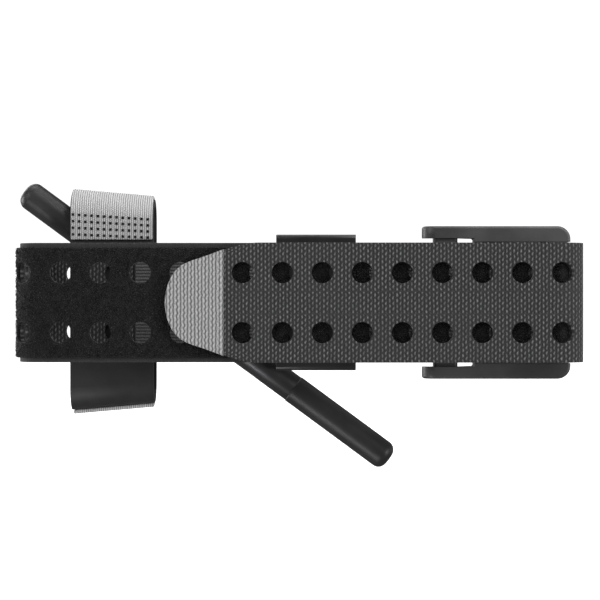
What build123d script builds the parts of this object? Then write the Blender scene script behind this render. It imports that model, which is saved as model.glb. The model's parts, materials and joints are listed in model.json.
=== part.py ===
from build123d import *

import math
import os

# Windlass tourniquet, looped flat: a perforated strap with an auto-locking buckle, a windlass rod
# parked in a two-hook clip, and the clip's retention strap closed over it.
#
# Frame: X runs along the flattened loop from the clip end (-X) to the buckle end (+X), Y through
# its depth from the plain back strap (-Y) to the windlass side (+Y), and Z across the strap's
# width, along the limb.  The origin is the centre of the limb opening.  Lengths are millimetres.

# ---- strap ----
STRAP_WIDTH = 38.1
WEAVE = 1.1                 # woven ply of the strap
PILE = 1.1                  # loop pile on the woven ply
LAYER_STEP = 2.3            # spacing of two strap layers that lie on each other
PILE_WIDTH = 35.2
HOLE_RADIUS = 3.4
HOLE_PITCH = 12.7
HOLE_ROW_Z = 9.525          # the two rows of holes lie this far from the middle
FIRST_HOLE_X = -76.27       # a hole of the inner back layer, which places all the others
LIMB_GAP = 24.9             # clear depth inside the loop, strap to strap
LEFT_END_X = -90.3          # mid-line of the strap at the two ends of the loop
RIGHT_END_X = 89.7
LAYER_GAP_AT_BEND = 0.05
LEFT_BEND = 7.456           # mid-line radii of the strap's bends
INNER_BEND = 4.25
OUTER_BEND = 6.85
STRAP_END_X = -40.0         # where the strap's fixed end stops under the band
PEEL_X = 13.45              # the free end of the strap peels away from here
TAIL_HOLES = 3
TIP_X = -42.6
TIP_SHOULDER = (1.2, 6.3)   # distance from the tip and half width where the blunt nose turns
TIP_FLANK = (4.2, 10.8)
TIP_WAIST = (12.0, 14.3)
TIP_FLARE_X = -13.0         # the tongue reaches the full width here
TAIL_PILE_INSET = 1.0
TAB_EDGE_X = -24.2
TAB_THICKNESS = 0.5
TAB_SEAM_INSET = 1.6
TAB_SEAM_HALF_LENGTH = 14.0

# ---- base webbing and windlass band ----
WEBBING = 1.5
WEBBING_START_X = -54.5
WEBBING_FOLD_X = 30.0       # the fold round the crossbar is sewn down from here
WEBBING_FOLD_FLAT_X = 38.5
WEBBING_FOLD_BEND = 5.0
BAND_WIDTH = 25.4
BAND = 1.1
BAND_LEFT_X = -48.3
BAND_LEFT_RISE = (-41.0, -37.0)    # where the band leaves the strap and where it meets the rod
BAND_RIGHT_X = 29.0
BAND_RIGHT_RISE = (-17.0, -26.0)
BAND_RISE_BENDS = (6.0, 8.0)
BAND_TO_ROD = 0.6
CLEARANCE = 0.05            # between soft layers that lie on each other

# ---- buckle ----
SLIDER_THICKNESS = 3.0
SLIDER_RIGHT_X = 69.0
SLIDER_TRAVEL = 4.0
SLIDER_HALF_WIDTH = 19.7
STRAP_CLEARANCE = 0.25      # between the strap and the bars it runs round
LUG_X = (61.0, 68.0)
LUG_HALF_WIDTH = 24.3
FRAME_X = (40.7, 89.9)
FRAME_HALF_WIDTH = 25.4
FRAME_NEAR_Y = 11.5
HOUSING_X = 58.1
HOUSING_RAMP = (6.0, 1.0)   # the rail rises to the housing between these distances before it
RAIL_NOSE = 4.2             # fillet of the rail's webbing end
RAIL_CORNER = 4.4           # rounding of the frame's outer corner
RAIL_RIM = 0.9
HOUSING_INNER_Z = 20.2
RAIL_INNER_Z = 21.4
RAIL_TOP_Y = 17.0
HOUSING_TOP_Y = 21.5
CROSSBAR_X = (44.2, 52.5)
CROSSBAR_Y = (12.6, 15.2)
ENDBAR_LEFT_X = 79.8
POCKET_X = (59.9, 84.4)
POCKET_Z = (21.4, 24.6)
POCKET_FLOOR_Y = 14.4
COVER_X = (57.6, 88.6)
COVER_THICKNESS = 0.9
COVER_CORNER = 1.6
COVER_SCREW_X = (58.9, 86.6)
SCREW_RADIUS = 0.6
SCREW_LENGTH = 4.2
SCREW_HEAD = (1.15, 0.8)    # radius and height
SCREW_SLOT = (1.6, 0.6, 0.3)
SPRING_RADIUS = 1.2
SPRING_WIRE = 0.25
SPRING_TURNS = 9
GUIDE_ROD_RADIUS = 0.6
PRONG_RADIUS = 1.15
PRONG_ROUNDING = 0.9
PRONG_PROUD = 1.7           # prong tip above the strap's outer face

# ---- guide plate ----
PLATE_X = (-7.9, 18.5)
PLATE_Y = (9.2, 10.7)
PLATE_HALF_WIDTH = 22.5
PLATE_WALL = 1.4
PLATE_TOP_Y = 15.4
BRIDGE_LENGTH = 4.2
BRIDGE_THICKNESS = 1.2
PLATE_LOW_ROUNDING = 1.3
PLATE_TOP_ROUNDING = 0.9

# ---- clip and retention strap ----
CLIP_X = (-76.7, -48.9)
CLIP_HALF_HEIGHT = (36.6, 34.2)   # at its two ends along X
CLIP_CENTRE_Z = 0.4
CLIP_WALL = 2.2
CHANNEL_DEPTH = 10.7
HOOK_TIP_Z = 13.0
HOOK_TIP_ROUNDING = 0.8
HOOK_PATCH_INSET = 4.0
HOOK_PATCH_DEPTH = 0.8
HOOK_PATCH_Z = (-24.5, -15.5)
CLIP_SEAM_INSET = 3.0
CLIP_SEAM_HALF_LENGTH = 15.0
RETAINER = 1.3
RETAINER_LOW_Z = 20.9
RETAINER_X = (-76.4, -49.2)
FLAP_TOP_Z = 24.5
FLAP_GAP = 0.15
FLAP_WRAP = 95.0
STUD_COLUMNS = 13
STUD_ROWS = 4
STUD_SIZE = 0.85
STUD_PROUD = 0.25
STUD_X = (-75.6, -50.7)
STUD_TOP_Z = (29.3, 27.7)         # the top row's height at its two ends
STUD_ROW_PITCH = (2.2, 2.02)

# ---- windlass ----
ROD_CENTRE = (-31.4, 22.3, -7.7)
ROD_ANGLE = 36.35           # the clip end points this far above the strap's own direction
ROD_LENGTH = 152.4
GRIP_RADIUS = 4.83
CORE_RADIUS = 4.65
SPIGOT_RADIUS = 3.0
GRIP_START = 36.0           # distance from the rod's centre to the grips
GRIP_DOME = 3.2
GRIP_RIM = 0.4
SLOT_LENGTH = 27.0
SLOT_HEIGHT = 2.4
BAND_PAST_ROD = 2.5         # the band's loop stands out of the slot by this on each side

# ---- thread ----
STITCH_LENGTH = 2.0
STITCH_WIDTH = 0.5
STITCH_PROUD = 0.25
STITCH_PITCH = 2.8
JOINT_SEAM = ((-47.4, -42.2), 10.5)     # ends along X, and half length across the strap
LOOP_SEAM = ((31.4, 37.0), 16.0)
BAND_SEAM = (1.5, 10.5)                 # inset from the band's end, and half length

# ---- positions worked out from the sizes above ----
HALF_STEP = LAYER_STEP / 2
WEAVE_OFFSETS = (-HALF_STEP, -HALF_STEP + WEAVE)
PILE_OFFSETS = (-HALF_STEP + WEAVE, -HALF_STEP + WEAVE + PILE)
INNER_Y = LIMB_GAP / 2 + HALF_STEP
OUTER_Y = INNER_Y + LAYER_STEP
FRONT_FACE_Y = -(OUTER_Y + HALF_STEP)
FAR_PILE_Y = INNER_Y + PILE_OFFSETS[1]
SLIDER_Y = INNER_Y + HALF_STEP + STRAP_CLEARANCE + SLIDER_THICKNESS / 2
TURN_BEND = SLIDER_Y - INNER_Y
UPPER_Y = SLIDER_Y + TURN_BEND
INNER_RIGHT_X = RIGHT_END_X - LAYER_STEP - LAYER_GAP_AT_BEND
WEBBING_Y = (LIMB_GAP / 2 - WEBBING, LIMB_GAP / 2 - CLEARANCE)
CLIP_BASE_Y = FAR_PILE_Y + 0.1
CHANNEL_Y = CLIP_BASE_Y + CLIP_WALL + CHANNEL_DEPTH / 2
CLIP_BEND = CHANNEL_DEPTH / 2 + CLIP_WALL / 2


class Route:
    """A path of straight runs joined by tangent arcs, measured along its length."""

    def __init__(self, corners, radii):
        self.segments = []
        start = corners[0]
        for index, radius in enumerate(radii, start=1):
            before, corner, after = corners[index - 1 : index + 2]
            heading_in = direction(before, corner)
            heading_out = direction(corner, after)
            turn = math.atan2(
                heading_in[0] * heading_out[1] - heading_in[1] * heading_out[0],
                heading_in[0] * heading_out[0] + heading_in[1] * heading_out[1],
            )
            side = math.copysign(1.0, turn)
            setback = radius * math.tan(abs(turn) / 2)
            arc_start = shifted(corner, heading_in, -setback)
            self.add_line(start, arc_start)
            centre = shifted(arc_start, (-heading_in[1], heading_in[0]), side * radius)
            self.segments.append(("arc", centre, radius, side, arc_start, abs(turn) * radius))
            start = shifted(corner, heading_out, setback)
        self.add_line(start, corners[-1])

    def add_line(self, start, end):
        length = math.dist(start, end)
        if length > 1e-6:
            self.segments.append(("line", start, end, length))

    @property
    def length(self):
        return sum(segment[-1] for segment in self.segments)

    def locate(self, distance):
        """The point at a distance along the path, and the heading there."""
        for segment in self.segments:
            if distance <= segment[-1]:
                break
            distance -= segment[-1]
        if segment[0] == "line":
            heading = direction(segment[1], segment[2])
            return shifted(segment[1], heading, distance), heading
        centre, radius, side, arc_start = segment[1:5]
        angle = side * distance / radius
        arm = turned((arc_start[0] - centre[0], arc_start[1] - centre[1]), angle)
        heading = (-side * arm[1] / radius, side * arm[0] / radius)
        return (centre[0] + arm[0], centre[1] + arm[1]), heading

    def edges(self, offset, place):
        """The path moved sideways by offset, to the right of travel, as edges."""
        result = []
        for segment in self.segments:
            if segment[0] == "line":
                heading = direction(segment[1], segment[2])
                right = (heading[1], -heading[0])
                ends = [shifted(point, right, offset) for point in segment[1:3]]
                result.append(Edge.make_line(place(*ends[0]), place(*ends[1])))
                continue
            centre, radius, side, arc_start, length = segment[1:]
            scale = (radius + side * offset) / radius
            sweep_angle = side * length / radius
            arm = (arc_start[0] - centre[0], arc_start[1] - centre[1])
            points = []
            for fraction in (0.0, 0.5, 1.0):
                x, y = turned(arm, sweep_angle * fraction)
                points.append(place(centre[0] + scale * x, centre[1] + scale * y))
            result.append(Edge.make_three_point_arc(*points))
        return result

    def ribbon(self, low, high, place):
        """The closed face between two sideways offsets of the path."""
        near = self.edges(low, place)
        far = self.edges(high, place)
        caps = [
            Edge.make_line(near[0] @ 0, far[0] @ 0),
            Edge.make_line(near[-1] @ 1, far[-1] @ 1),
        ]
        return Face(Wire(near + far + caps))


def direction(start, end):
    length = math.dist(start, end)
    return ((end[0] - start[0]) / length, (end[1] - start[1]) / length)


def shifted(point, heading, distance):
    return (point[0] + heading[0] * distance, point[1] + heading[1] * distance)


def turned(arm, angle):
    c, s = math.cos(angle), math.sin(angle)
    return (arm[0] * c - arm[1] * s, arm[0] * s + arm[1] * c)


def block(x, y, z):
    """A box between two limits on each axis."""
    size = [abs(limits[1] - limits[0]) for limits in (x, y, z)]
    centre = [(limits[0] + limits[1]) / 2 for limits in (x, y, z)]
    return Pos(*centre) * Box(*size)


def rod_along(start, heading, radius, length):
    """A cylinder from a start point along a heading."""
    plane = Plane(origin=start, z_dir=heading)
    return plane * Cylinder(radius, length, align=(Align.CENTER, Align.CENTER, Align.MIN))


def across(width):
    """Placing function for a profile drawn in XY that is later extruded by width along Z."""
    return lambda x, y: Vector(x, y, -width / 2)


def ribbon_solid(route, offsets, width):
    face = route.ribbon(*offsets, across(width))
    return extrude(face, amount=width, dir=(0, 0, 1))


def mirrored_pair(shape):
    """A shape and its mirror image across the strap's middle, as separate solids."""
    return [shape, mirror(shape, about=Plane.XY)]


# ---- strap ----

def turn_x():
    """X of the slider turn that keeps every hole on one pitch round both ends of the strap."""
    free = strap_route(0.0).length
    hole_to_hole = free - inner_hole_distance() - (last_outer_hole_x() - PEEL_X)
    pitches = math.floor(hole_to_hole / HOLE_PITCH)
    while (hole_to_hole - pitches * HOLE_PITCH) / 2 < CROSSBAR_X[1] + TURN_BEND:
        pitches -= 1
    return (hole_to_hole - pitches * HOLE_PITCH) / 2


def inner_hole_distance():
    """Distance along the strap from its fixed end to the reference hole of the back layer."""
    end_run = STRAP_END_X - LEFT_END_X - LEFT_BEND
    far_side = end_run + math.pi * LEFT_BEND + 2 * (INNER_Y - LEFT_BEND)
    return far_side + FIRST_HOLE_X - LEFT_END_X - LEFT_BEND


def last_outer_hole_x():
    """The rightmost hole on the flat of the outer layer, half a pitch grid from the inner one."""
    return PEEL_X + 5.5 * HOLE_PITCH


def strap_route(bend_x):
    """The strap's mid-line from its fixed end to the peel line, turning round the slider at bend_x."""
    turn_left = bend_x - TURN_BEND
    corners = [
        (STRAP_END_X, INNER_Y),
        (LEFT_END_X, INNER_Y),
        (LEFT_END_X, -INNER_Y),
        (INNER_RIGHT_X, -INNER_Y),
        (INNER_RIGHT_X, INNER_Y),
        (turn_left, INNER_Y),
        (turn_left, UPPER_Y),
        (RIGHT_END_X, UPPER_Y),
        (RIGHT_END_X, -OUTER_Y),
        (PEEL_X, -OUTER_Y),
    ]
    radii = [LEFT_BEND, LEFT_BEND, INNER_BEND, INNER_BEND, TURN_BEND, TURN_BEND, OUTER_BEND, OUTER_BEND]
    return Route(corners, radii)


def hole_cutters(route):
    """Cylinders through the strap at every pitch, in two rows."""
    first = inner_hole_distance() % HOLE_PITCH
    count = int((route.length - first) / HOLE_PITCH) + 1
    reach = LAYER_STEP * 1.5
    cutters = []
    for index in range(count):
        point, heading = route.locate(first + index * HOLE_PITCH)
        right = (heading[1], -heading[0])
        start = shifted(point, right, -reach)
        for row in (-HOLE_ROW_Z, HOLE_ROW_Z):
            cutters.append(rod_along((*start, row), (*right, 0), HOLE_RADIUS, reach + HALF_STEP))
    return cutters


def main_strap(route):
    """Woven ply and pile ply of the strap, up to the peel line."""
    cutters = hole_cutters(route)
    woven = ribbon_solid(route, WEAVE_OFFSETS, STRAP_WIDTH) - cutters
    pile = ribbon_solid(route, PILE_OFFSETS, PILE_WIDTH) - cutters
    return {"main_strap": woven, "strap_pile": pile}


def tongue(y, inset, left_x, right_x):
    """The strap's free end between two depths: full width, narrowing in a smooth curve to a blunt tip."""
    full = STRAP_WIDTH / 2 - inset
    flank = [(TIP_FLARE_X, full)]
    for along, half in (TIP_WAIST, TIP_FLANK, TIP_SHOULDER):
        flank.append((TIP_X + inset + along, half - inset))
    points = flank + [(TIP_X + inset, 0.0)] + [(x, -z) for x, z in reversed(flank)]
    curve = Spline(*[(x, 0, z) for x, z in points], tangents=[(-1, 0, 0), (1, 0, 0)])
    outline = [
        curve.edge(),
        Edge.make_line((TIP_FLARE_X, 0, -full), (PEEL_X, 0, -full)),
        Edge.make_line((PEEL_X, 0, -full), (PEEL_X, 0, full)),
        Edge.make_line((PEEL_X, 0, full), (TIP_FLARE_X, 0, full)),
    ]
    slab = extrude(Face(Wire(outline)), amount=y[1] - y[0], dir=(0, 1, 0))
    slab = Pos(0, y[0], 0) * slab
    return slab & block((left_x, right_x), y, (-STRAP_WIDTH, STRAP_WIDTH))


def strap_tail():
    """The free end of the strap, its pile, the grey tab over its tip, and the tab's seam."""
    woven_y = (FRONT_FACE_Y, FRONT_FACE_Y + WEAVE)
    pile_y = (woven_y[1], woven_y[1] + PILE)
    tab_y = (FRONT_FACE_Y, FRONT_FACE_Y + TAB_THICKNESS)
    holes = []
    for index in range(TAIL_HOLES):
        x = PEEL_X - (index + 0.5) * HOLE_PITCH
        for row in (-HOLE_ROW_Z, HOLE_ROW_Z):
            start = (x, FRONT_FACE_Y - WEAVE, row)
            holes.append(rod_along(start, (0, 1, 0), HOLE_RADIUS, 3 * WEAVE + PILE))
    tab = tongue(tab_y, 0.0, TIP_X - 1, TAB_EDGE_X)
    woven = tongue(woven_y, 0.0, TIP_X - 1, PEEL_X) - tab - holes
    pile = tongue(pile_y, TAIL_PILE_INSET, TIP_X, PEEL_X) - holes
    seam_x = TAB_EDGE_X - TAB_SEAM_INSET
    seam = stitch_line((seam_x, -TAB_SEAM_HALF_LENGTH), (seam_x, TAB_SEAM_HALF_LENGTH), FRONT_FACE_Y, -1)
    return {"strap_tail": woven, "tail_pile": pile, "pull_tab": tab, "tab_stitches": seam}


# ---- thread ----

def stitch_line(start, end, face_y, side):
    """Separate stitches in a row on a face at face_y, standing out to the given side."""
    length = math.dist(start, end)
    heading = direction(start, end)
    angle = math.degrees(math.atan2(heading[1], heading[0]))
    count = max(2, int(length / STITCH_PITCH) + 1)
    stitches = []
    for index in range(count):
        x, z = shifted(start, heading, length * index / (count - 1))
        stitch = Box(STITCH_LENGTH, STITCH_PROUD, STITCH_WIDTH)
        stitches.append(Pos(x, face_y + side * STITCH_PROUD / 2, z) * Rot(0, -angle, 0) * stitch)
    return stitches


def stitched_box(x, half_z, face_y, side):
    """Two long rows and two short rows of stitches round a rectangle."""
    inset = STITCH_LENGTH
    rows = []
    for z in (-half_z, half_z):
        rows += stitch_line((x[0] + inset, z), (x[1] - inset, z), face_y, side)
    for end in x:
        rows += stitch_line((end, -half_z + inset), (end, half_z - inset), face_y, side)
    return rows


def seams():
    """The hidden seams of the webbing, the band and the clip."""
    band_top = BAND + band_left_y()
    clip_floor = CLIP_BASE_Y + CLIP_WALL
    clip_seam = []
    for x in (CLIP_X[0] + CLIP_SEAM_INSET, CLIP_X[1] - CLIP_SEAM_INSET):
        clip_seam += stitch_line((x, -CLIP_SEAM_HALF_LENGTH), (x, CLIP_SEAM_HALF_LENGTH), clip_floor, 1)
    fold_top = WEBBING_Y[1] + CLEARANCE + WEBBING
    under = WEBBING_Y[0]
    band_x = BAND_RIGHT_X - BAND_SEAM[0]
    band_face = band_right_y() + BAND
    return {
        "joint_stitches": stitched_box(*JOINT_SEAM, band_top, 1) + stitched_box(*JOINT_SEAM, under, -1),
        "loop_stitches": stitched_box(*LOOP_SEAM, fold_top, 1) + stitched_box(*LOOP_SEAM, under, -1),
        "band_stitches": stitch_line((band_x, -BAND_SEAM[1]), (band_x, BAND_SEAM[1]), band_face, 1),
        "clip_stitches": clip_seam,
    }


# ---- webbing and band ----

def base_webbing():
    """Ribbed webbing from under the clip to the buckle, folded round the crossbar and back."""
    middle = (WEBBING_Y[0] + WEBBING_Y[1]) / 2
    half = (WEBBING_Y[1] - WEBBING_Y[0]) / 2
    bar_middle = (CROSSBAR_Y[0] + CROSSBAR_Y[1]) / 2
    bend = bar_middle - middle
    right = CROSSBAR_X[1] + 3 * CLEARANCE + half
    top = middle + 2 * bend
    folded = middle + 2 * half + CLEARANCE
    corners = [
        (WEBBING_START_X, middle),
        (right, middle),
        (right, top),
        (CROSSBAR_X[0] - 1.0, top),
        (WEBBING_FOLD_FLAT_X, folded),
        (WEBBING_FOLD_X, folded),
    ]
    radii = [bend, bend, WEBBING_FOLD_BEND, WEBBING_FOLD_BEND]
    return ribbon_solid(Route(corners, radii), (-half, half), STRAP_WIDTH)


def band_left_y():
    return FAR_PILE_Y + CLEARANCE


def band_right_y():
    return WEBBING_Y[1] + CLEARANCE


def inner_band():
    """The windlass band's two flat runs, each rising towards the rod, as separate solids."""
    rise_y = ROD_CENTRE[1] - GRIP_RADIUS - BAND_TO_ROD - BAND / 2
    runs = []
    sides = (
        (BAND_LEFT_X, BAND_LEFT_RISE, band_left_y(), BAND_RISE_BENDS[0]),
        (BAND_RIGHT_X, BAND_RIGHT_RISE, band_right_y(), BAND_RISE_BENDS[1]),
    )
    for end_x, rise_x, low_y, bend in sides:
        y = low_y + BAND / 2
        run = Route([(end_x, y), (rise_x[0], y), (rise_x[1], rise_y)], [bend])
        runs.append(ribbon_solid(run, (-BAND / 2, BAND / 2), BAND_WIDTH))
    return runs


# ---- windlass ----

def rod_plane():
    """Local frame of the rod: its X along the rod towards the clip, its Y outwards."""
    angle = math.radians(ROD_ANGLE)
    along = (-math.cos(angle), 0, math.sin(angle))
    return Plane(origin=ROD_CENTRE, x_dir=along, z_dir=(-math.sin(angle), 0, -math.cos(angle)))


def windlass():
    """Slotted rod, its two grip sleeves, and the stretch of band through the slot."""
    frame = rod_plane()
    half = ROD_LENGTH / 2
    along = Rot(0, 90, 0)
    core = along * Cylinder(CORE_RADIUS, 2 * GRIP_START)
    spigot_end = half - GRIP_DOME
    core += along * Cylinder(SPIGOT_RADIUS, 2 * spigot_end)
    slot = Box(SLOT_LENGTH - SLOT_HEIGHT, SLOT_HEIGHT, 4 * CORE_RADIUS)
    for x in (-1, 1):
        end = Pos(x * (SLOT_LENGTH - SLOT_HEIGHT) / 2, 0, 0)
        slot += end * Cylinder(SLOT_HEIGHT / 2, 4 * CORE_RADIUS)
    core -= slot
    grip_length = half - GRIP_START
    grip = Pos(GRIP_START + grip_length / 2, 0, 0) * along * Cylinder(GRIP_RADIUS, grip_length)
    grip = fillet(grip.edges().sort_by(Axis.X)[-1], GRIP_DOME)
    grip = fillet(grip.edges().sort_by(Axis.X)[0], GRIP_RIM)
    grip -= along * Cylinder(SPIGOT_RADIUS, 2 * spigot_end)
    other_grip = Rot(0, 180, 0) * grip
    loop = Box(SLOT_LENGTH - SLOT_HEIGHT, BAND, 2 * (CORE_RADIUS + BAND_PAST_ROD))
    return {
        "windlass_rod": frame * core,
        "grip_upper": frame * grip,
        "grip_lower": frame * other_grip,
        "band_loop": frame * loop,
    }


# ---- clip ----

def tapered(face_at, x):
    """A solid lofted between one face at each end of an X range."""
    return loft([face_at(x[0]), face_at(x[1])], ruled=True)


def clip_half_height(x):
    """The clip's half height at x, which falls evenly from its left end to its right end."""
    fraction = (x - CLIP_X[0]) / (CLIP_X[1] - CLIP_X[0])
    return CLIP_HALF_HEIGHT[0] + fraction * (CLIP_HALF_HEIGHT[1] - CLIP_HALF_HEIGHT[0])


def hook_centre_z(x, side):
    """Height of the centre of the clip's round end at x, for the upper (1) or lower (-1) hook."""
    return CLIP_CENTRE_Z + side * (clip_half_height(x) - CHANNEL_DEPTH / 2 - CLIP_WALL)


def clip_face(x):
    """The clip's double-hook section at x."""
    inner_y = CHANNEL_Y - CLIP_BEND
    outer_y = CHANNEL_Y + CLIP_BEND
    top = hook_centre_z(x, 1) + CLIP_BEND
    bottom = hook_centre_z(x, -1) - CLIP_BEND
    corners = [
        (outer_y, CLIP_CENTRE_Z + HOOK_TIP_Z),
        (outer_y, top),
        (inner_y, top),
        (inner_y, bottom),
        (outer_y, bottom),
        (outer_y, CLIP_CENTRE_Z - HOOK_TIP_Z),
    ]
    route = Route(corners, [CLIP_BEND] * 4)
    return route.ribbon(-CLIP_WALL / 2, CLIP_WALL / 2, lambda y, z: Vector(x, y, z))


def hook_patch_box():
    """The recess in the lower hook's outer face that holds the hook patch."""
    outer = CHANNEL_Y + CHANNEL_DEPTH / 2 + CLIP_WALL
    x = (CLIP_X[0] + HOOK_PATCH_INSET, CLIP_X[1] - HOOK_PATCH_INSET)
    return block(x, (outer - HOOK_PATCH_DEPTH, outer), HOOK_PATCH_Z)


def windlass_clip():
    clip = tapered(clip_face, CLIP_X) - hook_patch_box()
    tips = []
    for edge in clip.edges():
        middle = edge.center()
        at_tip = abs(abs(middle.Z - CLIP_CENTRE_Z) - HOOK_TIP_Z) < 0.01
        if at_tip and edge.length > CHANNEL_DEPTH:
            tips.append(edge)
    return fillet(tips, HOOK_TIP_ROUNDING)


def retainer_thickness(gap):
    start = CLIP_BEND + CLIP_WALL / 2 + gap
    return (start, start + RETAINER)


def anchor_face(x):
    """Fixed part of the retention strap at x: up the clip's back face and over its top."""
    near, far = retainer_thickness(CLEARANCE)
    middle = (near + far) / 2
    top = hook_centre_z(x, 1) + middle
    corners = [
        (CHANNEL_Y - middle, RETAINER_LOW_Z),
        (CHANNEL_Y - middle, top),
        (CHANNEL_Y + middle, top),
        (CHANNEL_Y + middle, FLAP_TOP_Z),
    ]
    route = Route(corners, [middle, middle])
    return route.ribbon(-RETAINER / 2, RETAINER / 2, lambda y, z: Vector(x, y, z))


def flap_face(x):
    """Moving part of the retention strap at x: down the clip's outer side and under its bottom."""
    near, far = retainer_thickness(FLAP_GAP)
    middle = (near + far) / 2
    outer_y = CHANNEL_Y + middle
    centre_z = hook_centre_z(x, -1)
    wrap = math.radians(FLAP_WRAP)
    end = (CHANNEL_Y + middle * math.cos(wrap), centre_z - middle * math.sin(wrap))
    heading = (-math.sin(wrap), -math.cos(wrap))
    corner = (outer_y, centre_z - middle * math.tan(wrap / 2))
    last = shifted(end, heading, 0.05)
    route = Route([(outer_y, FLAP_TOP_Z), corner, last], [middle])
    return route.ribbon(-RETAINER / 2, RETAINER / 2, lambda y, z: Vector(x, y, z))


def stud_places():
    """Centres of the studs in X and Z, in rows that close up slightly along X."""
    places = []
    for row in range(STUD_ROWS):
        for column in range(STUD_COLUMNS):
            fraction = column / (STUD_COLUMNS - 1)
            x = STUD_X[0] + fraction * (STUD_X[1] - STUD_X[0])
            left = STUD_TOP_Z[0] - row * STUD_ROW_PITCH[0]
            right = STUD_TOP_Z[1] - row * STUD_ROW_PITCH[1]
            places.append((x, left + fraction * (right - left)))
    return places


def retention_strap():
    """Retention strap in its fixed and moving parts, and the studs that fix it to the clip."""
    near_y = CLIP_BASE_Y
    depth = (near_y - CLEARANCE - RETAINER - STUD_PROUD, near_y)
    half = STUD_SIZE / 2
    studs = [block((x - half, x + half), depth, (z - half, z + half)) for x, z in stud_places()]
    anchor = tapered(anchor_face, RETAINER_X) - studs
    return {
        "retention_strap": anchor,
        "retention_flap": tapered(flap_face, RETAINER_X),
        "weld_studs": studs,
    }


# ---- guide plate ----

def guide_plate():
    """Plate under the webbing, with turned edges and two bridges over the band."""
    walls = (PLATE_HALF_WIDTH - PLATE_WALL, PLATE_HALF_WIDTH)
    plate = block(PLATE_X, PLATE_Y, (-PLATE_HALF_WIDTH, PLATE_HALF_WIDTH))
    for side in (-1, 1):
        plate += block(PLATE_X, (PLATE_Y[0], PLATE_TOP_Y), [side * z for z in walls])
    low_edges = plate.edges().filter_by(Axis.X).group_by(Axis.Y)[0]
    plate = fillet(low_edges, PLATE_LOW_ROUNDING)
    bridge_y = (PLATE_TOP_Y - BRIDGE_THICKNESS, PLATE_TOP_Y)
    for x in (PLATE_X[0], PLATE_X[1] - BRIDGE_LENGTH):
        bridge = block((x, x + BRIDGE_LENGTH), bridge_y, (-PLATE_HALF_WIDTH, PLATE_HALF_WIDTH))
        plate += bridge
    top_edges = plate.edges().filter_by(Axis.X).group_by(Axis.Y)[-1]
    outer = [edge for edge in top_edges if abs(edge.center().Z) > PLATE_HALF_WIDTH - 0.1]
    return fillet(outer, PLATE_TOP_ROUNDING)


# ---- buckle ----

def side_rail():
    """The upper rail of the frame: low at the webbing end, a housing over the spring."""
    profile = Polyline(
        (FRAME_X[0], FRAME_NEAR_Y), (FRAME_X[0], RAIL_TOP_Y), (HOUSING_X - HOUSING_RAMP[0], RAIL_TOP_Y),
        (HOUSING_X - HOUSING_RAMP[1], HOUSING_TOP_Y), (FRAME_X[1], HOUSING_TOP_Y),
        (FRAME_X[1], FRAME_NEAR_Y),
        close=True,
    )
    rail = extrude(make_face(profile), amount=FRAME_HALF_WIDTH - RAIL_INNER_Z)
    rail = Pos(0, 0, RAIL_INNER_Z) * rail
    housing_y = (FRAME_NEAR_Y, HOUSING_TOP_Y)
    rail += block((HOUSING_X, FRAME_X[1]), housing_y, (HOUSING_INNER_Z, RAIL_INNER_Z))
    left_bottom = rail.edges().filter_by(Axis.Z).group_by(Axis.X)[0].sort_by(Axis.Y)
    rail = fillet(left_bottom[0], RAIL_NOSE)
    left_top = rail.edges().filter_by(Axis.Z).group_by(Axis.X)[0].sort_by(Axis.Y)
    rail = fillet(left_top[-1], 1.0)
    right_corner = rail.edges().filter_by(Axis.Y).group_by(Axis.X)[-1].sort_by(Axis.Z)
    rail = fillet(right_corner[-1], RAIL_CORNER)
    outer_rim = rail.faces().sort_by(Axis.Z)[-1].edges().filter_by(Axis.X)
    return fillet(outer_rim, RAIL_RIM)


def bar_section(x, y, round_left, round_right):
    """A flat bar's face in XY with half-round ends where asked."""
    radius = (y[1] - y[0]) / 2
    middle = (y[0] + y[1]) / 2
    left = x[0] + radius if round_left else x[0]
    right = x[1] - radius if round_right else x[1]
    face = Pos((left + right) / 2, middle) * Rectangle(right - left, y[1] - y[0])
    if round_left:
        face += Pos(left, middle) * Circle(radius)
    if round_right:
        face += Pos(right, middle) * Circle(radius)
    return face


def cross_bar(x, y, round_left, round_right, half_width):
    section = bar_section(x, y, round_left, round_right)
    return Pos(0, 0, -half_width) * extrude(section, amount=2 * half_width)


def slider_y():
    half = SLIDER_THICKNESS / 2
    return (SLIDER_Y - half, SLIDER_Y + half)


def buckle_frame():
    """Both rails, the webbing crossbar, the end bar, and the pockets for the springs."""
    frame = cross_bar(CROSSBAR_X, CROSSBAR_Y, True, True, RAIL_INNER_Z + 0.5)
    end_right = RIGHT_END_X - OUTER_BEND + SLIDER_THICKNESS / 2
    frame += cross_bar((ENDBAR_LEFT_X, end_right), slider_y(), True, True, HOUSING_INNER_Z + 0.5)
    lug_slot_x = (LUG_X[0] - 0.3, LUG_X[1] + SLIDER_TRAVEL + 0.3)
    lug_slot_y = (slider_y()[0] - 0.15, slider_y()[1] + 0.15)
    rail = side_rail()
    rail -= block(POCKET_X, (POCKET_FLOOR_Y, HOUSING_TOP_Y + 1), POCKET_Z)
    rail -= block(lug_slot_x, lug_slot_y, (HOUSING_INNER_Z - 1, POCKET_Z[0] + 0.1))
    pocket_middle = sum(POCKET_Z) / 2
    rail -= rod_along((POCKET_X[1] - 1, SLIDER_Y, pocket_middle), (1, 0, 0), GUIDE_ROD_RADIUS, 3.2)
    for x in COVER_SCREW_X:
        hole_start = (x, HOUSING_TOP_Y + 1, pocket_middle)
        rail -= rod_along(hole_start, (0, -1, 0), SCREW_RADIUS, SCREW_LENGTH + 0.3)
    for half in mirrored_pair(rail):
        frame += half
    return frame


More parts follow.
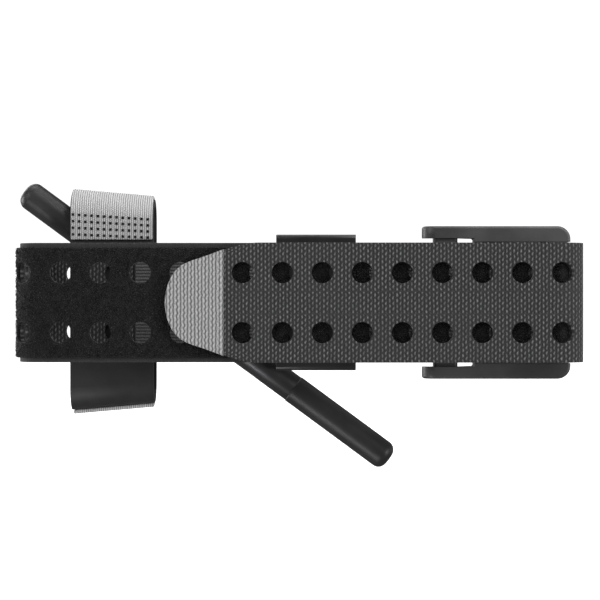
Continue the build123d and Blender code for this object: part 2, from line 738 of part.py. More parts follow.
def rail_cover():
    """The cover over the upper rail's pocket, with two screw holes."""
    top = HOUSING_TOP_Y + COVER_THICKNESS
    cover = block(COVER_X, (HOUSING_TOP_Y, top), (HOUSING_INNER_Z + 0.4, FRAME_HALF_WIDTH - 0.9))
    corners = cover.edges().filter_by(Axis.Y)
    cover = fillet(corners, COVER_CORNER)
    for x in COVER_SCREW_X:
        cover -= rod_along((x, top + 1, sum(POCKET_Z) / 2), (0, -1, 0), SCREW_RADIUS, SCREW_LENGTH)
    return cover


def cover_screws():
    """Four screws: a domed head on each cover and a shank into the rail."""
    screws = []
    top = HOUSING_TOP_Y + COVER_THICKNESS
    z = sum(POCKET_Z) / 2
    for x in COVER_SCREW_X:
        head = rod_along((x, top, z), (0, 1, 0), *SCREW_HEAD)
        head = fillet(head.edges().group_by(Axis.Y)[-1], SCREW_HEAD[1] / 2)
        drive = Pos(x, top + SCREW_HEAD[1], z) * Box(*SCREW_SLOT)
        shank = rod_along((x, top, z), (0, -1, 0), SCREW_RADIUS, SCREW_LENGTH)
        screws += mirrored_pair(head + shank - drive)
    return screws


def slider_bar():
    """The sprung bar the strap turns round, with a lug at each end that runs in the rails."""
    left = turn_x() - SLIDER_THICKNESS / 2
    bar = cross_bar((left, SLIDER_RIGHT_X), slider_y(), True, True, SLIDER_HALF_WIDTH)
    return bar + block(LUG_X, slider_y(), (-LUG_HALF_WIDTH, LUG_HALF_WIDTH))


def prong_x():
    """Prong axis: half the slider's travel short of the hole it stands in."""
    route = strap_route(turn_x())
    beyond = route.length - (last_outer_hole_x() - PEEL_X)
    while route.locate(beyond)[0][1] < UPPER_Y - 1e-3 or route.locate(beyond)[0][0] > SLIDER_RIGHT_X:
        beyond -= HOLE_PITCH
    return route.locate(beyond)[0][0] - SLIDER_TRAVEL / 2


def prongs():
    """Two pins on the slider that stand in one pair of strap holes, with rounded tips."""
    tip = UPPER_Y + HALF_STEP + PRONG_PROUD
    base = slider_y()[1]
    pins = []
    for row in (-HOLE_ROW_Z, HOLE_ROW_Z):
        pin = rod_along((prong_x(), base, row), (0, 1, 0), PRONG_RADIUS, tip - base)
        pins.append(fillet(pin.edges().group_by(Axis.Y)[-1], PRONG_ROUNDING))
    return pins


def springs():
    """A compression spring behind each lug, and the guide rod inside it."""
    start = LUG_X[1] + 0.4
    length = POCKET_X[1] - 0.4 - start
    z = sum(POCKET_Z) / 2
    path = Helix(length / SPRING_TURNS, length, SPRING_RADIUS, direction=(1, 0, 0))
    section = Plane(origin=path @ 0, z_dir=path % 0) * Circle(SPRING_WIRE)
    coil = Pos(start, SLIDER_Y, z) * sweep(section, path=path, is_frenet=True)
    rod_start = LUG_X[1] + SLIDER_TRAVEL + 0.5
    rod = rod_along((rod_start, SLIDER_Y, z), (1, 0, 0), GUIDE_ROD_RADIUS, POCKET_X[1] + 2.0 - rod_start)
    upper, lower = mirrored_pair(coil)
    return {
        "slider_spring_upper": upper,
        "slider_spring_lower": lower,
        "spring_guide_rods": mirrored_pair(rod),
    }


def buckle():
    cover_upper, cover_lower = mirrored_pair(rail_cover())
    return {
        "buckle_frame": buckle_frame(),
        "rail_cover_upper": cover_upper,
        "rail_cover_lower": cover_lower,
        "cover_screws": cover_screws(),
        "slider_bar": slider_bar(),
        "locking_prongs": prongs(),
        **springs(),
    }


def build():
    parts = {
        **main_strap(strap_route(turn_x())),
        **strap_tail(),
        "base_webbing": base_webbing(),
        "inner_band": inner_band(),
        **seams(),
        **windlass(),
        "windlass_clip": windlass_clip(),
        "hook_patch": hook_patch_box(),
        **retention_strap(),
        "guide_plate": guide_plate(),
        **buckle(),
    }
    os.makedirs("parts", exist_ok=True)
    for name, shape in parts.items():
        solids = shape if isinstance(shape, list) else [shape]
        solids = [solid for item in solids for solid in item.solids()]
        node = solids[0] if len(solids) == 1 else Compound(children=solids)
        node.label = name
        export_step(node, f"parts/{name}.step")


build()
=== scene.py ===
"""Looks of the tourniquet: woven strap with pile, moulded clip, metal buckle and plate, on a white table."""

import json
import math

import bmesh
import bpy
import numpy as np
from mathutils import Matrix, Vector


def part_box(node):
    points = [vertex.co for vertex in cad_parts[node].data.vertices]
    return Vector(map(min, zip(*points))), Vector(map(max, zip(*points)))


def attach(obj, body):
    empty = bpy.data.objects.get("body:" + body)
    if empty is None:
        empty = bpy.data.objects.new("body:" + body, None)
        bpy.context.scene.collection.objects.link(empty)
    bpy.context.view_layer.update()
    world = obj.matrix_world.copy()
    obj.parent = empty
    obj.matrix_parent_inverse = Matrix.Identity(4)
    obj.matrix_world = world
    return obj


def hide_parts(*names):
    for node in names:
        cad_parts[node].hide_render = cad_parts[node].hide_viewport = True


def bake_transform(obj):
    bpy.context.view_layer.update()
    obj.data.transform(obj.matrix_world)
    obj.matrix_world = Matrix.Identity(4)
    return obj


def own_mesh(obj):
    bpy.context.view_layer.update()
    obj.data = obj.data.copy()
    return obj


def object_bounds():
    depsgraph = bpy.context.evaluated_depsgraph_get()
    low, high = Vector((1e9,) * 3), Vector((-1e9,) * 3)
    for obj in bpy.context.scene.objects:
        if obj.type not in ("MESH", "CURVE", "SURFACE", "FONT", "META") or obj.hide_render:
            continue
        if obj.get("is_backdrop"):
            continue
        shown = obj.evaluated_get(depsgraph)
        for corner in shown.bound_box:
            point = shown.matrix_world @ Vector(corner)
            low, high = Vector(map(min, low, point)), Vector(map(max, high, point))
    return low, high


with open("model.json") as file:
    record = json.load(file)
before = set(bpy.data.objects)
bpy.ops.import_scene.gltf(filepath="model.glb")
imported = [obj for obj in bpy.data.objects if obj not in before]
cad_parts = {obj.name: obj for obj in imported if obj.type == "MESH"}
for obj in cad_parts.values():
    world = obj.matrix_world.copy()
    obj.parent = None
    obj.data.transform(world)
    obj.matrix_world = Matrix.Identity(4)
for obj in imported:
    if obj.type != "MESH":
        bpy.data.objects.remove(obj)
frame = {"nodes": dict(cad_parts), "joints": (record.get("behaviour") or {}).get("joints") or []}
cad_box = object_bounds()

# ---- sizes, in millimetres, taken from the frame where it has them ----
MM = 0.001
SEED = 11


def box_mm(node):
    """Lowest and highest corner of a CAD node in millimetres."""
    low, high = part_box(node)
    return np.array(low) / MM, np.array(high) / MM


STRAP_LOW, STRAP_HIGH = box_mm("main_strap")
PILE_HALF_WIDTH = box_mm("strap_pile")[1][2]
TAIL_LOW, TAIL_HIGH = box_mm("strap_tail")
WEBBING_LOW, WEBBING_HIGH = box_mm("base_webbing")
BAND_LOW, BAND_HIGH = box_mm("inner_band")
CLIP_LOW, CLIP_HIGH = box_mm("windlass_clip")
RETAINER_LOW, RETAINER_HIGH = box_mm("retention_strap")
FLAP_LOW, FLAP_HIGH = box_mm("retention_flap")

HALF_WIDTH = STRAP_HIGH[2]
WEAVE = 1.1
LAYER_STEP = 2.3
HALF_STEP = LAYER_STEP / 2
HOLE_RADIUS = 3.4
HOLE_PITCH = 12.7
HOLE_ROW = HOLE_PITCH * 0.75
BACK_HOLE_X = -76.27                     # a hole of the inner back layer
OUTER_Y = -STRAP_LOW[1] - HALF_STEP
INNER_Y = OUTER_Y - LAYER_STEP
UPPER_Y = STRAP_HIGH[1] - HALF_STEP
SLIDER_Y = (INNER_Y + UPPER_Y) / 2
TURN_BEND = SLIDER_Y - INNER_Y
TURN_X = box_mm("slider_bar")[0][0] + 1.5
LEFT_X = box_mm("strap_pile")[0][0] + LAYER_STEP - WEAVE - 0.15
RIGHT_X = STRAP_HIGH[0] - HALF_STEP
INNER_RIGHT_X = RIGHT_X - LAYER_STEP - 0.05
LEFT_BEND = 7.456
INNER_BEND = 4.25
OUTER_BEND = 6.85
STRAP_END_X = -40.0
TIP_X = TAIL_LOW[0]
FLARE_X = -13.0                          # the tongue reaches full width here
TAB_EDGE_X = box_mm("pull_tab")[1][0]


# ---- routes: a strap's path through a profile plane ----

class Route:
    """Straight runs joined by tangent arcs; offsets are to the right of travel."""

    def __init__(self, corners, radii):
        points = [np.array(corner, float) for corner in corners]
        self.parts = []
        start = points[0]
        for before, corner, after, radius in zip(points, points[1:], points[2:], radii):
            into = (corner - before) / np.linalg.norm(corner - before)
            out = (after - corner) / np.linalg.norm(after - corner)
            turn = math.atan2(into[0] * out[1] - into[1] * out[0], into @ out)
            setback = radius * math.tan(abs(turn) / 2)
            begin = corner - into * setback
            self.parts.append((start, into, np.linalg.norm(begin - start), 0.0))
            self.parts.append((begin, into, abs(turn) * radius, math.copysign(1 / radius, turn)))
            start = corner + out * setback
        last = points[-1] - start
        self.parts.append((start, last / np.linalg.norm(last), np.linalg.norm(last), 0.0))
        self.length = sum(part[2] for part in self.parts)

    def place(self, distance, offset):
        """Points of the profile plane at distances along the route, moved sideways by offset."""
        distance = np.asarray(distance, float)
        result = np.zeros((len(distance), 2))
        begin = 0.0
        for index, (start, heading, length, bend) in enumerate(self.parts):
            low = -np.inf if index == 0 else begin
            high = np.inf if index == len(self.parts) - 1 else begin + length
            mine = (distance >= low) & (distance < high)
            run = (distance[mine] - begin)[:, None]
            left = np.array([-heading[1], heading[0]])
            if bend == 0.0:
                middle = start + run * heading
                right = np.repeat(-left[None, :], len(run), axis=0)
            else:
                angle = run * bend
                middle = start + (np.sin(angle) * heading + (1 - np.cos(angle)) * left) / bend
                right = np.sin(angle) * heading - np.cos(angle) * left
            result[mine] = middle + right * np.asarray(offset, float)[mine][:, None]
            begin += length
        return result

    def distance_to_part(self, index):
        return sum(part[2] for part in self.parts[:index])


STRAP_ROUTE = Route(
    [
        (STRAP_END_X, INNER_Y), (LEFT_X, INNER_Y), (LEFT_X, -INNER_Y), (INNER_RIGHT_X, -INNER_Y),
        (INNER_RIGHT_X, INNER_Y), (TURN_X - TURN_BEND, INNER_Y), (TURN_X - TURN_BEND, UPPER_Y),
        (RIGHT_X, UPPER_Y), (RIGHT_X, -OUTER_Y), (TIP_X, -OUTER_Y),
    ],
    [LEFT_BEND, LEFT_BEND, INNER_BEND, INNER_BEND, TURN_BEND, TURN_BEND, OUTER_BEND, OUTER_BEND],
)
BACK_RUN = STRAP_ROUTE.distance_to_part(4)          # where the flat back run starts
BACK_RUN_X = LEFT_X + LEFT_BEND
FIRST_HOLE = (BACK_RUN + BACK_HOLE_X - BACK_RUN_X) % HOLE_PITCH
CELL_START = FIRST_HOLE - HOLE_PITCH / 2


def strap_x(distance):
    return TIP_X + STRAP_ROUTE.length - distance


# ---- flat patterns that are laid along a route ----

class Pattern:
    """A flat sheet of quads in (distance, width) that may have round holes."""

    def __init__(self):
        self.points = []
        self.faces = []

    def grid(self, distances, widths):
        base = len(self.points)
        self.points += [(d, w) for d in distances for w in widths]
        across = len(widths)
        for i in range(len(distances) - 1):
            for j in range(across - 1):
                a = base + i * across + j
                self.faces.append((a, a + across, a + across + 1, a + 1))

    def hole(self, distance, width, half, radius, sides, rings):
        """A square cell with a round hole in it."""
        steps = np.linspace(-half, half, sides + 1)[:-1]
        square = [(s, -half) for s in steps] + [(half, s) for s in steps]
        square += [(-s, half) for s in steps] + [(-half, -s) for s in steps]
        square = np.array(square)
        circle = square / np.linalg.norm(square, axis=1)[:, None] * radius
        base, count = len(self.points), len(square)
        for ring in range(rings + 1):
            share = (ring / rings) ** 1.4
            for point in circle * (1 - share) + square * share:
                self.points.append((distance + point[0], width + point[1]))
        for ring in range(rings):
            for i in range(count):
                a = base + ring * count + i
                b = base + ring * count + (i + 1) % count
                self.faces.append((a, a + count, b + count, b))

    def weld(self):
        """Joins points that coincide, and drops faces that lose a side."""
        seen, remap, kept = {}, [], []
        for point in self.points:
            key = (round(point[0] * 500), round(point[1] * 500))
            if key not in seen:
                seen[key] = len(kept)
                kept.append(point)
            remap.append(seen[key])
        faces = []
        for face in self.faces:
            corners = list(dict.fromkeys(remap[i] for i in face))
            if len(corners) > 2:
                faces.append(tuple(corners))
        self.points, self.faces = kept, faces

    def border(self):
        """The edges that only one face has, in that face's direction."""
        edges = {}
        for face in self.faces:
            for a, b in zip(face, face[1:] + face[:1]):
                edges[(a, b)] = True
        return [(a, b) for a, b in edges if (b, a) not in edges]


def spread(low, high, step):
    return np.linspace(low, high, max(2, int(math.ceil((high - low) / step - 1e-6)) + 1))


CELL_SIDES = 12
CELL_RINGS = 4


def width_lines():
    """Lines across the strap that match the sides of the hole cells."""
    inner, outer = HOLE_ROW - HOLE_PITCH / 2, HOLE_ROW + HOLE_PITCH / 2
    middle = np.linspace(-inner, inner, 7)
    cell = np.linspace(inner, outer, CELL_SIDES + 1)
    edge = np.linspace(outer, HALF_WIDTH, 4)
    upper = list(cell[1:]) + list(edge[1:])
    return [-w for w in reversed(upper)] + list(middle) + upper


def strap_pattern(start, end):
    """Pattern of the strap between two distances, with its two rows of holes."""
    pattern = Pattern()
    lines = width_lines()
    inner, outer = HOLE_ROW - HOLE_PITCH / 2, HOLE_ROW + HOLE_PITCH / 2
    if start < CELL_START:
        pattern.grid(spread(start, CELL_START, 1.1), lines)
    for index in range(60):
        low = CELL_START + index * HOLE_PITCH
        if low < start - 0.01 or low + HOLE_PITCH > end + 0.01 or strap_x(low + HOLE_PITCH / 2) < TAB_EDGE_X:
            continue
        for row in (-HOLE_ROW, HOLE_ROW):
            pattern.hole(low + HOLE_PITCH / 2, row, HOLE_PITCH / 2, HOLE_RADIUS, CELL_SIDES, CELL_RINGS)
        steps = np.linspace(low, low + HOLE_PITCH, CELL_SIDES + 1)
        middle = [w for w in lines if abs(w) < inner + 0.01]
        edge = [w for w in lines if w > outer - 0.01]
        pattern.grid(steps, middle)
        pattern.grid(steps, edge)
        pattern.grid(steps, [-w for w in reversed(edge)])
        last = low + HOLE_PITCH
    if end > last + 0.1:
        quarter = np.linspace(0, math.pi / 2, 25)
        pattern.grid(last + (end - last) * np.sin(quarter), lines)
    return pattern


def tongue_outline():
    """Upper outline of the strap's free end, from tip to full width, off the carried-over shapes."""
    outline = {TIP_X: 0.0, FLARE_X: HALF_WIDTH, 0.0: HALF_WIDTH}
    for node, least in (("pull_tab", 0.5), ("strap_tail", 14.0)):
        vertices = frame["nodes"][node].data.vertices
        for vertex in vertices:
            x, z = vertex.co[0] / MM, vertex.co[2] / MM
            if z > least and x < FLARE_X:
                outline[round(x, 2)] = max(z, outline.get(round(x, 2), 0.0))
    stations = sorted(outline)
    return np.array(stations), np.array([outline[x] for x in stations])


OUTLINE_X, OUTLINE_Z = tongue_outline()


def tongue_half_width(x):
    """Half width of the strap's free end at x."""
    return np.interp(x, OUTLINE_X, OUTLINE_Z)


LAST_CELL_FROM_TIP = 17.65
NARROWING_REACH = 60.0


def fitted_width(distance, width, half_width):
    """Widths drawn in to the strap's outline, with the lines beside the holes left where they are."""
    outer = HOLE_ROW + HOLE_PITCH / 2
    x = strap_x(distance)
    x = np.where(distance > STRAP_ROUTE.length - NARROWING_REACH, x, 0.0)
    cells = round((STRAP_ROUTE.length - LAST_CELL_FROM_TIP - CELL_START) / HOLE_PITCH)
    hole_end_x = strap_x(CELL_START + HOLE_PITCH * cells)
    limit = np.minimum(half_width, tongue_half_width(np.maximum(x, hole_end_x)) - (HALF_WIDTH - half_width))
    size = np.abs(width)
    share = (size - outer) / (HALF_WIDTH - outer)
    drawn = np.where(size > outer, outer + share * (limit - outer), size)
    beyond = tongue_half_width(x) / tongue_half_width(np.full_like(x, hole_end_x))
    drawn = drawn * np.where(x < hole_end_x, beyond, 1.0)
    return np.sign(width) * drawn


# ---- meshes ----

def new_object(name, vertices, faces, uv=None):
    mesh = bpy.data.meshes.new(name)
    mesh.from_pydata([tuple(v) for v in vertices], [], [tuple(int(i) for i in f) for f in faces])
    if uv is not None:
        layer = mesh.uv_layers.new(name="flat")
        loops = np.zeros(len(mesh.loops), np.int32)
        mesh.loops.foreach_get("vertex_index", loops)
        layer.data.foreach_set("uv", np.asarray(uv, np.float32)[loops].ravel())
    mesh.polygons.foreach_set("use_smooth", [True] * len(mesh.polygons))
    item = bpy.data.objects.new(name, mesh)
    bpy.context.scene.collection.objects.link(item)
    return item


def tidy_normals(item, sharp=40.0):
    work = bmesh.new()
    work.from_mesh(item.data)
    bmesh.ops.recalc_face_normals(work, faces=work.faces)
    work.to_mesh(item.data)
    work.free()
    item.data.set_sharp_from_angle(angle=math.radians(sharp))
    return item


def rounded(item, width, segments=2, angle=50.0):
    """Rounds the sharp edges of a mesh, for good."""
    bevel = item.modifiers.new("edge", "BEVEL")
    bevel.width = width * MM
    bevel.segments = segments
    bevel.limit_method = "ANGLE"
    bevel.angle_limit = math.radians(angle)
    bevel.harden_normals = False
    bevel.use_clamp_overlap = True
    graph = bpy.context.evaluated_depsgraph_get()
    mesh = bpy.data.meshes.new_from_object(item.evaluated_get(graph))
    item.modifiers.clear()
    item.data = mesh
    return item


def slab(name, pattern, place, low, high, uv=None, edge=0.18):
    """A closed sheet of real thickness: a pattern placed at two offsets, with its border walled."""
    points = np.array(pattern.points)
    count = len(points)
    top = place(points[:, 0], points[:, 1], np.broadcast_to(high, count))
    bottom = place(points[:, 0], points[:, 1], np.broadcast_to(low, count))
    faces = list(pattern.faces)
    faces += [tuple(i + count for i in reversed(face)) for face in pattern.faces]
    faces += [(b, a, a + count, b + count) for a, b in pattern.border()]
    flat = points if uv is None else uv
    item = new_object(name, np.vstack([top, bottom]) * MM, faces, np.vstack([flat, flat]))
    tidy_normals(item)
    if edge:
        rounded(item, edge)
        item.data.set_sharp_from_angle(angle=math.radians(60))
    return item


def along_strap(half_width):
    """Placing function for the strap: distance, width and offset to a point."""

    def place(distance, width, offset):
        profile = STRAP_ROUTE.place(distance, offset)
        z = fitted_width(distance, width, half_width)
        return np.column_stack([profile[:, 0], profile[:, 1], z])

    return place


# ---- shader graphs ----

class Shade:
    """One material's node graph around a Principled shader."""

    def __init__(self, name, **sockets):
        self.material = bpy.data.materials.new(name)
        self.material.use_nodes = True
        self.tree = self.material.node_tree
        self.shader = self.tree.nodes["Principled BSDF"]
        for socket, value in sockets.items():
            self.shader.inputs[socket.replace("_", " ")].default_value = value

    def feed(self, socket, value):
        if isinstance(value, bpy.types.NodeSocket):
            self.tree.links.new(value, socket)
        elif hasattr(value, "__len__") and len(value) == 3 and socket.type == "RGBA":
            socket.default_value = (*value, 1.0)
        else:
            socket.default_value = value

    def math(self, operation, *values):
        node = self.tree.nodes.new("ShaderNodeMath")
        node.operation = operation
        for socket, value in zip(node.inputs, values):
            self.feed(socket, value)
        return node.outputs[0]

    def times(self, first, second):
        return self.math("MULTIPLY", first, second)

    def plus(self, first, second):
        return self.math("ADD", first, second)

    def mix(self, share, first, second):
        node = self.tree.nodes.new("ShaderNodeMix")
        node.data_type = "RGBA"
        self.feed(node.inputs["Factor"], share)
        self.feed(node.inputs[6], first)
        self.feed(node.inputs[7], second)
        return node.outputs[2]

    def smooth(self, value, low, high):
        node = self.tree.nodes.new("ShaderNodeMapRange")
        node.interpolation_type = "SMOOTHSTEP"
        self.feed(node.inputs["Value"], value)
        node.inputs["From Min"].default_value = low
        node.inputs["From Max"].default_value = high
        return node.outputs["Result"]

    def flat(self):
        """Distance and width of the piece's flat pattern, in millimetres."""
        node = self.tree.nodes.new("ShaderNodeUVMap")
        node.uv_map = "flat"
        parts = self.tree.nodes.new("ShaderNodeSeparateXYZ")
        self.tree.links.new(node.outputs[0], parts.inputs[0])
        return parts.outputs[0], parts.outputs[1], node.outputs[0]

    def solid(self):
        """Coordinates fixed to the object, in millimetres."""
        node = self.tree.nodes.new("ShaderNodeTexCoord")
        scale = self.tree.nodes.new("ShaderNodeVectorMath")
        scale.operation = "SCALE"
        scale.inputs["Scale"].default_value = 1 / MM
        self.tree.links.new(node.outputs["Object"], scale.inputs[0])
        return scale.outputs[0]

    def noise(self, vector, scale, detail=2.0, roughness=0.5):
        node = self.tree.nodes.new("ShaderNodeTexNoise")
        self.tree.links.new(vector, node.inputs["Vector"])
        node.inputs["Scale"].default_value = scale
        node.inputs["Detail"].default_value = detail
        node.inputs["Roughness"].default_value = roughness
        return node.outputs["Fac"]

    def cells(self, vector, scale):
        node = self.tree.nodes.new("ShaderNodeTexVoronoi")
        self.tree.links.new(vector, node.inputs["Vector"])
        node.inputs["Scale"].default_value = scale
        return node.outputs["Distance"]

    def stretched(self, vector, factors):
        node = self.tree.nodes.new("ShaderNodeVectorMath")
        node.operation = "MULTIPLY"
        self.tree.links.new(vector, node.inputs[0])
        node.inputs[1].default_value = factors
        return node.outputs[0]

    def bump(self, height, depth, strength=1.0):
        """Relief of a given depth in millimetres; several may be stacked."""
        node = self.tree.nodes.new("ShaderNodeBump")
        node.inputs["Strength"].default_value = strength
        node.inputs["Distance"].default_value = depth * MM
        self.tree.links.new(height, node.inputs["Height"])
        if self.shader.inputs["Normal"].is_linked:
            self.tree.links.new(self.shader.inputs["Normal"].links[0].from_socket, node.inputs["Normal"])
        self.tree.links.new(node.outputs[0], self.shader.inputs["Normal"])

    def colour(self, value):
        self.feed(self.shader.inputs["Base Color"], value)

    def roughness(self, value):
        self.feed(self.shader.inputs["Roughness"], value)


def sine_hump(shade, phase):
    """0 at whole numbers and 1 half way between them."""
    return shade.math("SINE", shade.times(shade.math("FRACT", phase), math.pi))


def weave_relief(shade, column, row, lean, sway):
    """Ribs across the strap, each a chain of leaning floats that step by half in the next rib."""
    along, across, flat = shade.flat()
    wave = shade.math("SINE", shade.times(across, 2 * math.pi / row))
    wobble = shade.times(wave, sway)
    uneven = shade.times(shade.math("SUBTRACT", shade.noise(flat, 0.35), 0.5), 0.5)
    rib = shade.plus(shade.math("DIVIDE", along, column), shade.plus(wobble, uneven))
    parity = shade.times(shade.math("MODULO", shade.math("FLOOR", rib), 2.0), 0.5)
    tilt = shade.times(shade.math("FRACT", rib), lean)
    chain = shade.plus(shade.math("DIVIDE", across, row), shade.plus(parity, tilt))
    rib_hump = sine_hump(shade, rib)
    float_hump = sine_hump(shade, chain)
    return rib_hump, float_hump, across, flat


def stripe_lines(shade, across, place, half):
    """1 on two thin lines that run along the strap at the given width, 0 elsewhere."""
    off = shade.math("ABSOLUTE", shade.math("SUBTRACT", shade.math("ABSOLUTE", across), place))
    return shade.math("SUBTRACT", 1.0, shade.smooth(off, half * 0.4, half))


def woven_dark():
    shade = Shade("strap_weave", Roughness=0.72, Sheen_Weight=0.15, Sheen_Roughness=0.5)
    rib, dash, across, flat = weave_relief(shade, 1.16, 1.75, 0.30, 0.07)
    patchy = shade.noise(flat, 1.1, 2.0)
    length = shade.plus(0.42, shade.times(dash, 0.58))
    bright = shade.smooth(shade.times(rib, length), 0.58, 1.0)
    gap = shade.smooth(rib, 0.05, 0.75)
    lines = stripe_lines(shade, across, 3.6, 0.3)
    body = shade.mix(gap, (0.007, 0.007, 0.007), (0.030, 0.030, 0.031))
    tip = shade.mix(shade.smooth(patchy, 0.35, 0.65), (0.12, 0.12, 0.122), (0.26, 0.26, 0.264))
    colour = shade.mix(bright, body, tip)
    colour = shade.mix(lines, colour, (0.032, 0.032, 0.033))
    fade = shade.smooth(shade.noise(flat, 0.05, 3.0), 0.3, 0.75)
    colour = shade.mix(shade.times(fade, 0.18), colour, (0.05, 0.05, 0.052))
    shade.colour(colour)
    height = shade.plus(shade.times(rib, 0.5), shade.times(bright, 0.5))
    shade.bump(height, 0.28)
    shade.bump(shade.noise(shade.stretched(flat, (1.0, 0.25, 1.0)), 7.0, 3.0), 0.05)
    return shade.material


def selvedge_plain():
    """The weave's bare margin beside the pile: flat, with only a faint rib."""
    shade = Shade("strap_selvedge", Roughness=0.8, Sheen_Weight=0.15, Sheen_Roughness=0.5)
    rib, _, _, flat = weave_relief(shade, 0.75, 0.9, 0.3, 0.0)
    mottle = shade.noise(flat, 0.9, 3.0)
    body = shade.mix(shade.smooth(mottle, 0.3, 0.7), (0.022, 0.022, 0.0225), (0.036, 0.036, 0.037))
    shade.colour(shade.mix(shade.times(rib, 0.35), body, (0.050, 0.050, 0.051)))
    shade.bump(rib, 0.06)
    shade.bump(shade.noise(flat, 5.0, 3.0), 0.04)
    return shade.material


def woven_grey(name, column, row, sway, dark, light):
    shade = Shade(name, Roughness=0.8, Sheen_Weight=0.2, Sheen_Roughness=0.5)
    rib, dash, _, flat = weave_relief(shade, column, row, 0.35, sway)
    body = shade.smooth(rib, 0.1, 0.9)
    thread = shade.times(body, shade.plus(0.55, shade.times(dash, 0.45)))
    fleck = shade.noise(flat, 2.2, 3.0)
    colour = shade.mix(thread, dark, light)
    colour = shade.mix(shade.times(shade.smooth(fleck, 0.35, 0.7), 0.3), colour, dark)
    shade.colour(colour)
    shade.bump(thread, 0.2)
    shade.bump(fleck, 0.05)
    return shade.material


def woven_columns(name, column, row, dark, light):
    """Light cloth with fine columns of small knots that run up the strap."""
    shade = Shade(name, Roughness=0.85, Sheen_Weight=0.2, Sheen_Roughness=0.5)
    along, across, flat = shade.flat()
    rib = shade.math("DIVIDE", across, column)
    parity = shade.times(shade.math("MODULO", shade.math("FLOOR", rib), 2.0), 0.5)
    knot = shade.plus(shade.math("DIVIDE", along, row), parity)
    column_hump = sine_hump(shade, rib)
    hump = shade.times(column_hump, shade.plus(0.6, shade.times(sine_hump(shade, knot), 0.4)))
    fleck = shade.noise(flat, 1.8, 3.0)
    colour = shade.mix(shade.smooth(hump, 0.1, 0.85), dark, light)
    shade.colour(shade.mix(shade.times(shade.smooth(fleck, 0.4, 0.75), 0.22), colour, dark))
    shade.bump(hump, 0.18)
    shade.bump(fleck, 0.04)
    return shade.material


def pile_black():
    shade = Shade("strap_pile", Roughness=0.95, Sheen_Weight=0.12, Sheen_Roughness=0.4)
    place = shade.solid()
    tuft = shade.cells(place, 1.7)
    fuzz = shade.noise(place, 2.4, 4.0, 0.7)
    speck = shade.smooth(fuzz, 0.5, 0.72)
    shade.colour(shade.mix(speck, (0.0055, 0.0055, 0.0055), (0.062, 0.062, 0.064)))
    shade.bump(tuft, 0.3)
    shade.bump(fuzz, 0.35)
    return shade.material


def ribbed(name, pitch, dark, light):
    """Webbing with ridges along its length."""
    shade = Shade(name, Roughness=0.75, Sheen_Weight=0.1, Sheen_Roughness=0.5)
    along, across, _ = shade.flat()
    ridge = sine_hump(shade, shade.math("DIVIDE", across, pitch))
    thread = sine_hump(shade, shade.plus(shade.math("DIVIDE", along, 0.7), shade.times(across, 0.6)))
    share = shade.times(ridge, shade.plus(0.7, shade.times(thread, 0.3)))
    shade.colour(shade.mix(share, dark, light))
    shade.bump(ridge, 0.12)
    shade.bump(thread, 0.06)
    return shade.material


def moulded(name, colour, roughness, grain, depth, wear=0.0):
    """Moulded plastic or coated metal with a fine grain and slight unevenness."""
    shade = Shade(name)
    place = shade.solid()
    broad = shade.noise(place, 0.06, 3.0)
    fine = shade.noise(place, grain, 2.0)
    lighter = tuple(c * 1.6 + 0.004 for c in colour)
    base = shade.mix(shade.smooth(broad, 0.3, 0.75), colour, lighter)
    if wear:
        scuff = shade.noise(shade.stretched(place, (0.5, 1.0, 2.0)), 0.8, 6.0, 0.75)
        base = shade.mix(shade.times(shade.smooth(scuff, 0.62, 0.8), wear), base, (0.16, 0.16, 0.165))
    shade.colour(base)
    spread_of = shade.times(shade.math("SUBTRACT", fine, 0.5), 0.18)
    shade.roughness(shade.plus(roughness, shade.plus(spread_of, shade.times(broad, 0.06))))
    shade.bump(fine, depth)
    return shade


def metal(name, colour, roughness, metallic, grain=3.0, depth=0.02, wear=0.3):
    shade = moulded(name, colour, roughness, grain, depth, wear)
    shade.shader.inputs["Metallic"].default_value = metallic
    return shade.material


def plastic(name, colour, roughness, grain=3.0, depth=0.02):
    shade = moulded(name, colour, roughness, grain, depth)
    shade.shader.inputs["Specular IOR Level"].default_value = 0.45
    return shade.material


def thread_finish(name, dark, light):
    shade = Shade(name, Roughness=0.6, Sheen_Weight=0.2)
    place = shade.solid()
    twist = shade.noise(shade.stretched(place, (3.0, 3.0, 3.0)), 1.3, 3.0)
    shade.colour(shade.mix(shade.smooth(twist, 0.3, 0.7), dark, light))
    shade.bump(twist, 0.08)
    return shade.material


